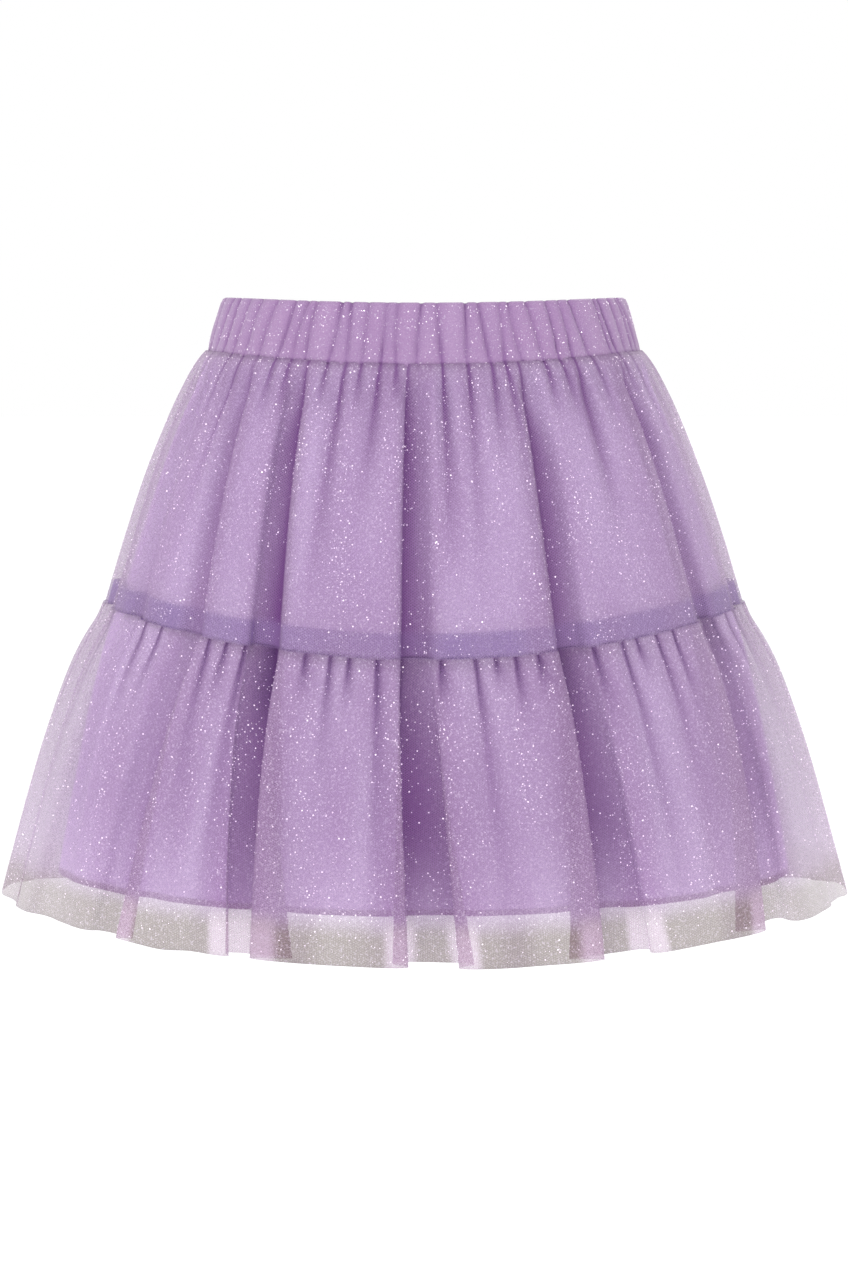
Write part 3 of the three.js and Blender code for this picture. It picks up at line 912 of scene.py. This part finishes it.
# The values of a mark, or of the grain's noise, between which a tint comes in.
IN_STREAK = (0.25, 0.8)
IN_LAP = (0.5, 0.8)
IN_DARK_GRAIN = (0.3, 0.55)
IN_PALE_GRAIN = (0.55, 0.7)

# The share of each tint, and how much of it another mark takes away.
HEM_TINT = 0.9
FLAP_TINT = 1.15
SIDE_SHEEN_TINT, SIDE_SHEEN_LESS_AT_HEM = 0.7, 0.2
HAZE_TINT = 0.2
DARK_GRAIN_TINT = 0.2
PALE_GRAIN_TINT = 0.6
FOLD_LESS_AT_SIDE = 0.6
BINDING_TINT, BINDING_TINT_LESS_IN_STREAK = 0.6, 0.4
TULLE_GRAIN = 1100


def tulle_tint(finish, marks):
    """The tulle's colour away from its folds."""
    flap, level, side, streak, hem, lap_at_hem = (
        marks[name] for name in ("flap", "level", "side", "streak", "hem", "lap_at_hem")
    )
    tint = finish.blend(finish.ramp(streak, IN_STREAK), TULLE_PALE, TULLE_PINK)
    tint = finish.blend(hem * HEM_TINT, tint, TULLE_HEM)
    tint = finish.blend(flap * (1.0 - hem) * FLAP_TINT, tint, TULLE_FLAP)
    tint = finish.blend(lap_at_hem, tint, TULLE_VEIL)
    # Towards the sides a painted sheen lightens the tulle, less so at the hem.
    tint = finish.blend(side * (SIDE_SHEEN_TINT - hem * SIDE_SHEEN_LESS_AT_HEM), tint, TULLE_SIDE_SHEEN)
    haze = finish.ramp(level, ABOVE_HEM, 0.0, HAZE_TINT) * (1.0 - hem) * (1.0 - flap)
    tint = finish.blend(haze, tint, TULLE_SPECK)
    grain = finish.object_noise(TULLE_GRAIN, 1)
    tint = finish.blend(finish.ramp(grain, IN_DARK_GRAIN, DARK_GRAIN_TINT, 0.0), tint, TULLE_PAINTED_SHADE_AND_DARK_GRAIN)
    return finish.blend(finish.ramp(grain, IN_PALE_GRAIN, 0.0, PALE_GRAIN_TINT), tint, TULLE_SPECK)


def tulle_finish():
    """Sheer net, whose two faces each hide FACE_COVER of what is behind, and more where its folds are
    shaded. Painted shade darkens its colour in the folds, most just under the tier seam.
    """
    finish = Finish("glitter tulle")
    marks = {name: finish.attribute(name) for name in ("fold", "streak", "flap", "level", "side")}
    fold, streak, flap, level, side = marks.values()
    net = net_threads(finish)
    hem = marks["hem"] = finish.ramp(level, AT_HEM)
    lap_at_hem = marks["lap_at_hem"] = finish.ramp(flap, IN_LAP) * hem
    under_seam = finish.ramp(level, ACROSS_SEAM) * finish.ramp(level, UNDER_SEAM_ENDS, 1.0, 0.0)
    # Painted shade, deepest in the valleys just under the tier seam.
    painted_deep_shade = finish.blend(under_seam * fold * fold, TULLE_PAINTED_SHADE_AND_DARK_GRAIN, TULLE_DEEPEST_PAINTED_SHADE)
    folded = finish.blend(fold * (1.0 - side * FOLD_LESS_AT_SIDE), tulle_tint(finish, marks), painted_deep_shade)
    on_binding = finish.ramp(level, ON_BINDING) * finish.ramp(level, BELOW_SEAM, 1.0, 0.0)
    binding_tint = on_binding * (BINDING_TINT - streak * BINDING_TINT_LESS_IN_STREAK)
    cover = fold * FOLD_COVER + flap * (1.0 - hem) * FLAP_COVER + lap_at_hem * LAP_AT_HEM_COVER
    cover = cover + streak * STREAK_COVER + side * SIDE_COVER + hem * HEM_COVER + FACE_COVER
    cover = cover + finish.ramp(level, AT_WAIST, TOP_COVER, 0.0)
    finish.set(
        Base_Color=finish.blend(binding_tint, folded, TULLE_SEAM),
        Alpha=((net * THREAD_COVER + HOLE_COVER) * cover).clipped(),
        Roughness=0.62,
        Normal=finish.bump(net, distance=0.00015, strength=0.35),
        Sheen_Weight=0.25,
        Sheen_Roughness=0.35,
        Sheen_Tint=SHEEN_TINT,
        Specular_IOR_Level=0.3,
    )
    return finish.material


# Turns of a cloth's weave, in radians for each metre.
LINING_WEAVE = 9000.0
BINDING_WEAVE = 5200.0
AT_LINING_HEM = (1.9255, 1.93)


def lining_finish():
    finish = Finish("plain lining")
    fold, streak, level = (finish.attribute(name) for name in ("fold", "streak", "level"))
    across, down = finish.cloth_axes()
    weave = (across * LINING_WEAVE).sine() * (down * LINING_WEAVE).sine()
    plain = finish.blend(finish.ramp(streak, IN_STREAK), LINING_COLOUR, LINING_PINK)
    # Painted shade in the folds.
    folded = finish.blend(fold, plain, LINING_PAINTED_SHADE)
    finish.set(
        Base_Color=finish.blend(finish.ramp(level, AT_LINING_HEM), folded, LINING_HEM_LINE),
        Roughness=0.48,
        Normal=finish.bump(weave, distance=0.00006, strength=0.4),
        Sheen_Weight=0.2,
    )
    return finish.material


IN_BAND_STREAK = (0.2, 0.8)
IN_BAND_SPECK = (0.32, 0.62)
IN_BAND_PALE_SPECK = (0.55, 0.75)
BAND_SPECK_TINT, BAND_PALE_SPECK_TINT = 0.6, 0.5
BAND_NET_TINT = 0.15
BAND_GRAIN = 1000


def band_finish():
    finish = Finish("gathered waistband")
    fold, streak = finish.attribute("fold"), finish.attribute("streak")
    net = net_threads(finish)
    grain = finish.object_noise(BAND_GRAIN, 2)
    speck = net * BAND_NET_TINT + finish.ramp(grain, IN_BAND_SPECK, 0.0, BAND_SPECK_TINT)
    pale_speck = finish.ramp(grain, IN_BAND_PALE_SPECK, 0.0, BAND_PALE_SPECK_TINT)
    tint = finish.blend(finish.ramp(streak, IN_BAND_STREAK), BAND_COLOUR, BAND_PINK)
    tint = finish.blend(speck, tint, BAND_SPECK)
    tint = finish.blend(pale_speck, tint, TULLE_SPECK)
    finish.set(
        Base_Color=finish.blend(fold, tint, BAND_PAINTED_SHADE),
        Roughness=0.7,
        Normal=finish.bump(net + grain, distance=0.00025, strength=0.5),
        Sheen_Weight=0.25,
    )
    return finish.material


BINDING_DRIFT = 300
BINDING_PAINTED_SHADE_TINT = 0.7


def binding_finish():
    finish = Finish("seam binding")
    across, down = finish.cloth_axes()
    ribs = (down * BINDING_WEAVE).sine() * 0.5 + (across * BINDING_WEAVE).sine() * 0.5
    tint = finish.blend(finish.object_noise(BINDING_DRIFT, 3), BINDING_COLOUR, BINDING_DARK)
    finish.set(
        # Painted shade from the valleys darkens the binding.
        Base_Color=finish.blend(finish.attribute("fold") * BINDING_PAINTED_SHADE_TINT, tint, TULLE_PAINTED_SHADE_AND_DARK_GRAIN),
        Roughness=0.7,
        Normal=finish.bump(ribs, distance=0.0002, strength=0.6),
    )
    return finish.material


def glitter_finish():
    finish = Finish("glitter")
    # The flakes glow from a dull to a bright tint by their share: a painted glint, which shines whatever
    # light falls on them.
    finish.set(
        Base_Color=FLAKE_COLOUR,
        Emission_Color=finish.blend(finish.attribute("glint_glow"), FLAKE_DULL_GLOW_COLOUR, FLAKE_GLINT_GLOW_COLOUR),
        Emission_Strength=0.55,
        Metallic=0.4,
        Roughness=0.25,
    )
    return finish.material


# Pieces of cloth


def declare(piece, node, flat, material):
    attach(piece, "root")
    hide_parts(node)
    piece.data.materials.append(material)


# The flat cloths, width all round and height, in metres.
UPPER_FLAT = (1.0, 0.136)
LOWER_FLAT = (1.42, 0.16)
LINING_FLAT = (0.98, 0.275)
BINDING_FLAT = (0.86, 0.0115)
BAND_FLAT = (0.66, 0.058)
BAND_CLOTH_WALL = 0.7

Cloth = namedtuple("Cloth", "name surface marks columns rows flat wall slot held material")
glitter_tulle = tulle_finish()
CLOTHS = [
    Cloth("waistband", waistband, band_marks, 400, 34, BAND_FLAT, BAND_CLOTH_WALL,
          "band", "gathered", band_finish()),
    Cloth("upper_tier", upper_tier, upper_marks, 400, 52, UPPER_FLAT, TULLE_WALL,
          "tulle", "gathered", glitter_tulle),
    Cloth("lower_tier", lower_tier, lower_marks, 470, 54, LOWER_FLAT, TULLE_WALL,
          "tulle", "gathered", glitter_tulle),
    Cloth("tier_binding", binding, binding_marks, 240, 5, BINDING_FLAT, BINDING_WALL,
          "binding", "gathered", binding_finish()),
    Cloth("lining", lining, lining_marks, 300, 48, LINING_FLAT, LINING_WALL,
          "lining", "hung", lining_finish()),
]

for cloth in CLOTHS:
    for half in HALVES:
        piece = cloth_piece(f"{cloth.name}_cloth_{half}", half, cloth)
        flat_width, flat_height = cloth.flat
        declare(piece, f"{cloth.name}_{half}", (flat_width / 2, flat_height),
                cloth.material)
        # Light comes through the tulle onto the lining.
        piece.visible_shadow = cloth.slot != "tulle"


# Glitter: small flakes stuck on the outside of the tulle and the waistband, denser in streaks
# that run down the folds.
FLAKE_LIFT = 0.2
FLAKE_THICKNESS = 0.35
FLAKE_CELL = 1.8
TIER_HEIGHT = 140
# Bright flakes are larger and glow more than faint ones; the glow is a painted glint.
FLAKE_RADIUS = {"bright": 0.38, "faint": 0.25}
FLAKE_GLINT_GLOW = {"bright": 1, "faint": 0.45}

# count is the most flakes all round, and seed starts their random places.
Glitter = namedtuple("Glitter", "kind place count seed")
GLITTERS = [
    Glitter("bright", "upper", 1500, 1605),
    Glitter("bright", "lower", 2600, 2705),
    Glitter("bright", "band", 260, 364),
    Glitter("faint", "upper", 4500, 4615),
    Glitter("faint", "lower", 6800, 6915),
    Glitter("faint", "band", 900, 1014),
]


def band_outside(angle, way):
    return waistband(angle, 1 - (1 - way) * BAND_OUTSIDE)


GLITTER_ON = {
    "upper": (upper_tier, upper_marks, TIER_SEAM),
    "lower": (lower_tier, lower_marks, HEM),
    "band": (band_outside, band_marks, BAND_FOOT),
}
STREAKS = Wander(21, 150, 3)
PATCHES = Wander(22, 34, 5)

# How many places are tried for each flake, between which ways, and how a place's chance depends on
# the streaks, the patches and the laps; a chance of MOST_WANTED is certain.
TRIES = 8
FLAKES_FROM, FLAKES_TO = 0.01, 0.985
WANTED_ANYWHERE = 0.12
WANTED_IN_STREAK, STREAK_CONTRAST = 1.2, 1.5
WANTED_IN_PATCH = 0.7
WANTED_IN_LAP = 0.6
MOST_WANTED = 2

# How far a flake leans, its sizes beside its radius, and how the glow of its painted glint is spread.
FLAKE_LEAN = 0.22
FLAKE_SIZES = (0.75, 1.2)
LEAST_GLINT_GLOW, GLINT_GLOW_CONTRAST = 0.2, 1.5

# Steps on the cloth from which its outward direction is worked out, in degrees and as a way.
STEP_ROUND = 0.2
STEP_DOWN = 0.004


def scattered(rng, count, marks, ring):
    """Angles and ways of about count flakes, even round the ring but denser in streaks and laps."""
    angle = rng.uniform(-180, 180, count * TRIES)
    way = rng.uniform(FLAKES_FROM, FLAKES_TO, count * TRIES)
    turn = np.radians(angle)
    spread = np.hypot(ring.half_width * np.cos(turn), ring.half_depth * np.sin(turn)) / ring.half_width
    streak, patch = np.clip(STREAKS(angle, way), 0, 1), np.clip(PATCHES(angle, way), 0, 1)
    wanted = WANTED_ANYWHERE + WANTED_IN_STREAK * streak**STREAK_CONTRAST + WANTED_IN_PATCH * patch
    wanted = (wanted + WANTED_IN_LAP * marks(angle, way).get("flap", 0)) * spread
    kept = rng.uniform(0, MOST_WANTED, count * TRIES) < wanted
    angle, way = angle[kept], way[kept]
    column = angle // math.degrees(FLAKE_CELL / ring.half_width)
    row = way // (FLAKE_CELL / TIER_HEIGHT)
    first = np.sort(np.unique(np.stack((column, row)), axis=1, return_index=True)[1])[:count]
    return angle[first], way[first]


def flake_mesh(rng, points, outward, radius, glint_glow):
    """The flakes of one place as a joined mesh of one eight-sided flake, repeated."""
    shape = bmesh.new()
    bmesh.ops.create_uvsphere(shape, u_segments=4, v_segments=2, radius=1)
    corners = np.array([vertex.co[:] for vertex in shape.verts])
    faces = np.array([[vertex.index for vertex in face.verts] for face in shape.faces])
    shape.free()
    count = len(points)
    tilt = outward + rng.normal(0, FLAKE_LEAN, (count, 3))
    tilt /= np.linalg.norm(tilt, axis=1, keepdims=True)
    side = np.cross(tilt, rng.normal(0, 1, (count, 3)))
    side /= np.linalg.norm(side, axis=1, keepdims=True)
    other = np.cross(tilt, side)
    size = radius * rng.uniform(*FLAKE_SIZES, (count, 1, 1))
    spread = corners[None, :, 0:1] * side[:, None] + corners[None, :, 1:2] * other[:, None]
    placed = points[:, None] + size * (spread + FLAKE_THICKNESS * corners[None, :, 2:3] * tilt[:, None])
    linked = faces[None] + (np.arange(count) * len(corners))[:, None, None]
    mesh = bpy.data.meshes.new("flakes")
    mesh.from_pydata((placed * MM).reshape(-1, 3), [], linked.reshape(-1, faces.shape[1]).tolist())
    shares = glint_glow * rng.uniform(LEAST_GLINT_GLOW, 1, count) ** GLINT_GLOW_CONTRAST
    shares = np.repeat(shares, len(corners))
    mesh.attributes.new("glint_glow", "FLOAT", "POINT").data.foreach_set("value", shares)
    return mesh


def outward_on(surface, angle, way, here):
    along = surface(angle + STEP_ROUND, way) - here
    below = surface(angle, way + STEP_DOWN) - here
    outward = np.cross(below, along)
    return outward / np.linalg.norm(outward, axis=1, keepdims=True)


def scatter_glitter():
    finish = glitter_finish()
    for kind, place, count, seed in GLITTERS:
        rng = np.random.default_rng(seed)
        surface, marks, ring = GLITTER_ON[place]
        angle, way = scattered(rng, count, marks, ring)
        here = surface(angle, way)
        outward = outward_on(surface, angle, way, here)
        mesh = flake_mesh(rng, here + FLAKE_LIFT * outward, outward, FLAKE_RADIUS[kind], FLAKE_GLINT_GLOW[kind])
        mesh.name = f"glitter_{kind}_{place}"
        flakes = bpy.data.objects.new(mesh.name, mesh)
        bpy.context.scene.collection.objects.link(flakes)
        mesh.materials.append(finish)
        flakes.visible_shadow = False
        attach(flakes, "root")


scatter_glitter()


# Floor, light and air

FLOOR_DROP = 130
FLOOR_RADIUS = 30000
FLOOR_SIDES = 96
FLOOR_GLOW = 0.74


def make_floor():
    shape = bmesh.new()
    bmesh.ops.create_circle(shape, cap_ends=True, segments=FLOOR_SIDES, radius=FLOOR_RADIUS * MM)
    mesh = bpy.data.meshes.new("floor")
    shape.to_mesh(mesh)
    shape.free()
    low = HEM.side_height - HEM.sag - FLOOR_DROP
    for vertex in mesh.vertices:
        vertex.co.z = low * MM
    floor = bpy.data.objects.new("floor", mesh)
    bpy.context.scene.collection.objects.link(floor)
    finish = Finish("pale floor")
    finish.set(Base_Color=FLOOR_COLOUR, Roughness=0.9, Emission_Color=WHITE, Emission_Strength=FLOOR_GLOW)
    mesh.materials.append(finish.material)


# Round lights: place and size in metres, power in watts. All of them face the middle of the skirt.
Light = namedtuple("Light", "name place size power")
LIGHTS = [
    Light("key", (-1.3, -1.7, 1.5), 1.2, 31.5),
    Light("fill", (1.9, -1.2, 0.5), 1.6, 12),
    Light("back", (0.3, 1.9, 1.0), 1.6, 14),
]
LIGHTS_FACE = Vector((0, 0, -0.15))


def make_light(name, place, size, power):
    data = bpy.data.lights.new(name, "AREA")
    data.shape, data.size, data.energy = "DISK", size, power
    light = bpy.data.objects.new(name, data)
    bpy.context.scene.collection.objects.link(light)
    light.location = Vector(place)
    light.rotation_euler = (LIGHTS_FACE - light.location).to_track_quat("-Z", "Y").to_euler()


SKY_LIGHT = 0.82
SHEER_LAYERS = 32


def make_air():
    """White air behind the skirt, which lights it a little less brightly than it looks."""
    world = bpy.data.worlds.new("studio")
    world.use_nodes = True
    tree = world.node_tree
    seen = tree.nodes.new("ShaderNodeLightPath")
    strength = tree.nodes.new("ShaderNodeMath")
    strength.operation = "MULTIPLY_ADD"
    strength.inputs[1].default_value, strength.inputs[2].default_value = 1 - SKY_LIGHT, SKY_LIGHT
    tree.links.new(seen.outputs["Is Camera Ray"], strength.inputs[0])
    tree.links.new(strength.outputs[0], tree.nodes["Background"].inputs["Strength"])
    tree.nodes["Background"].inputs["Color"].default_value = WHITE
    bpy.context.scene.world = world
    bpy.context.scene.view_settings.view_transform = "Standard"
    bpy.context.scene.cycles.transparent_max_bounces = SHEER_LAYERS


make_floor()
for light in LIGHTS:
    make_light(*light)
make_air()

bpy.context.view_layer.update()
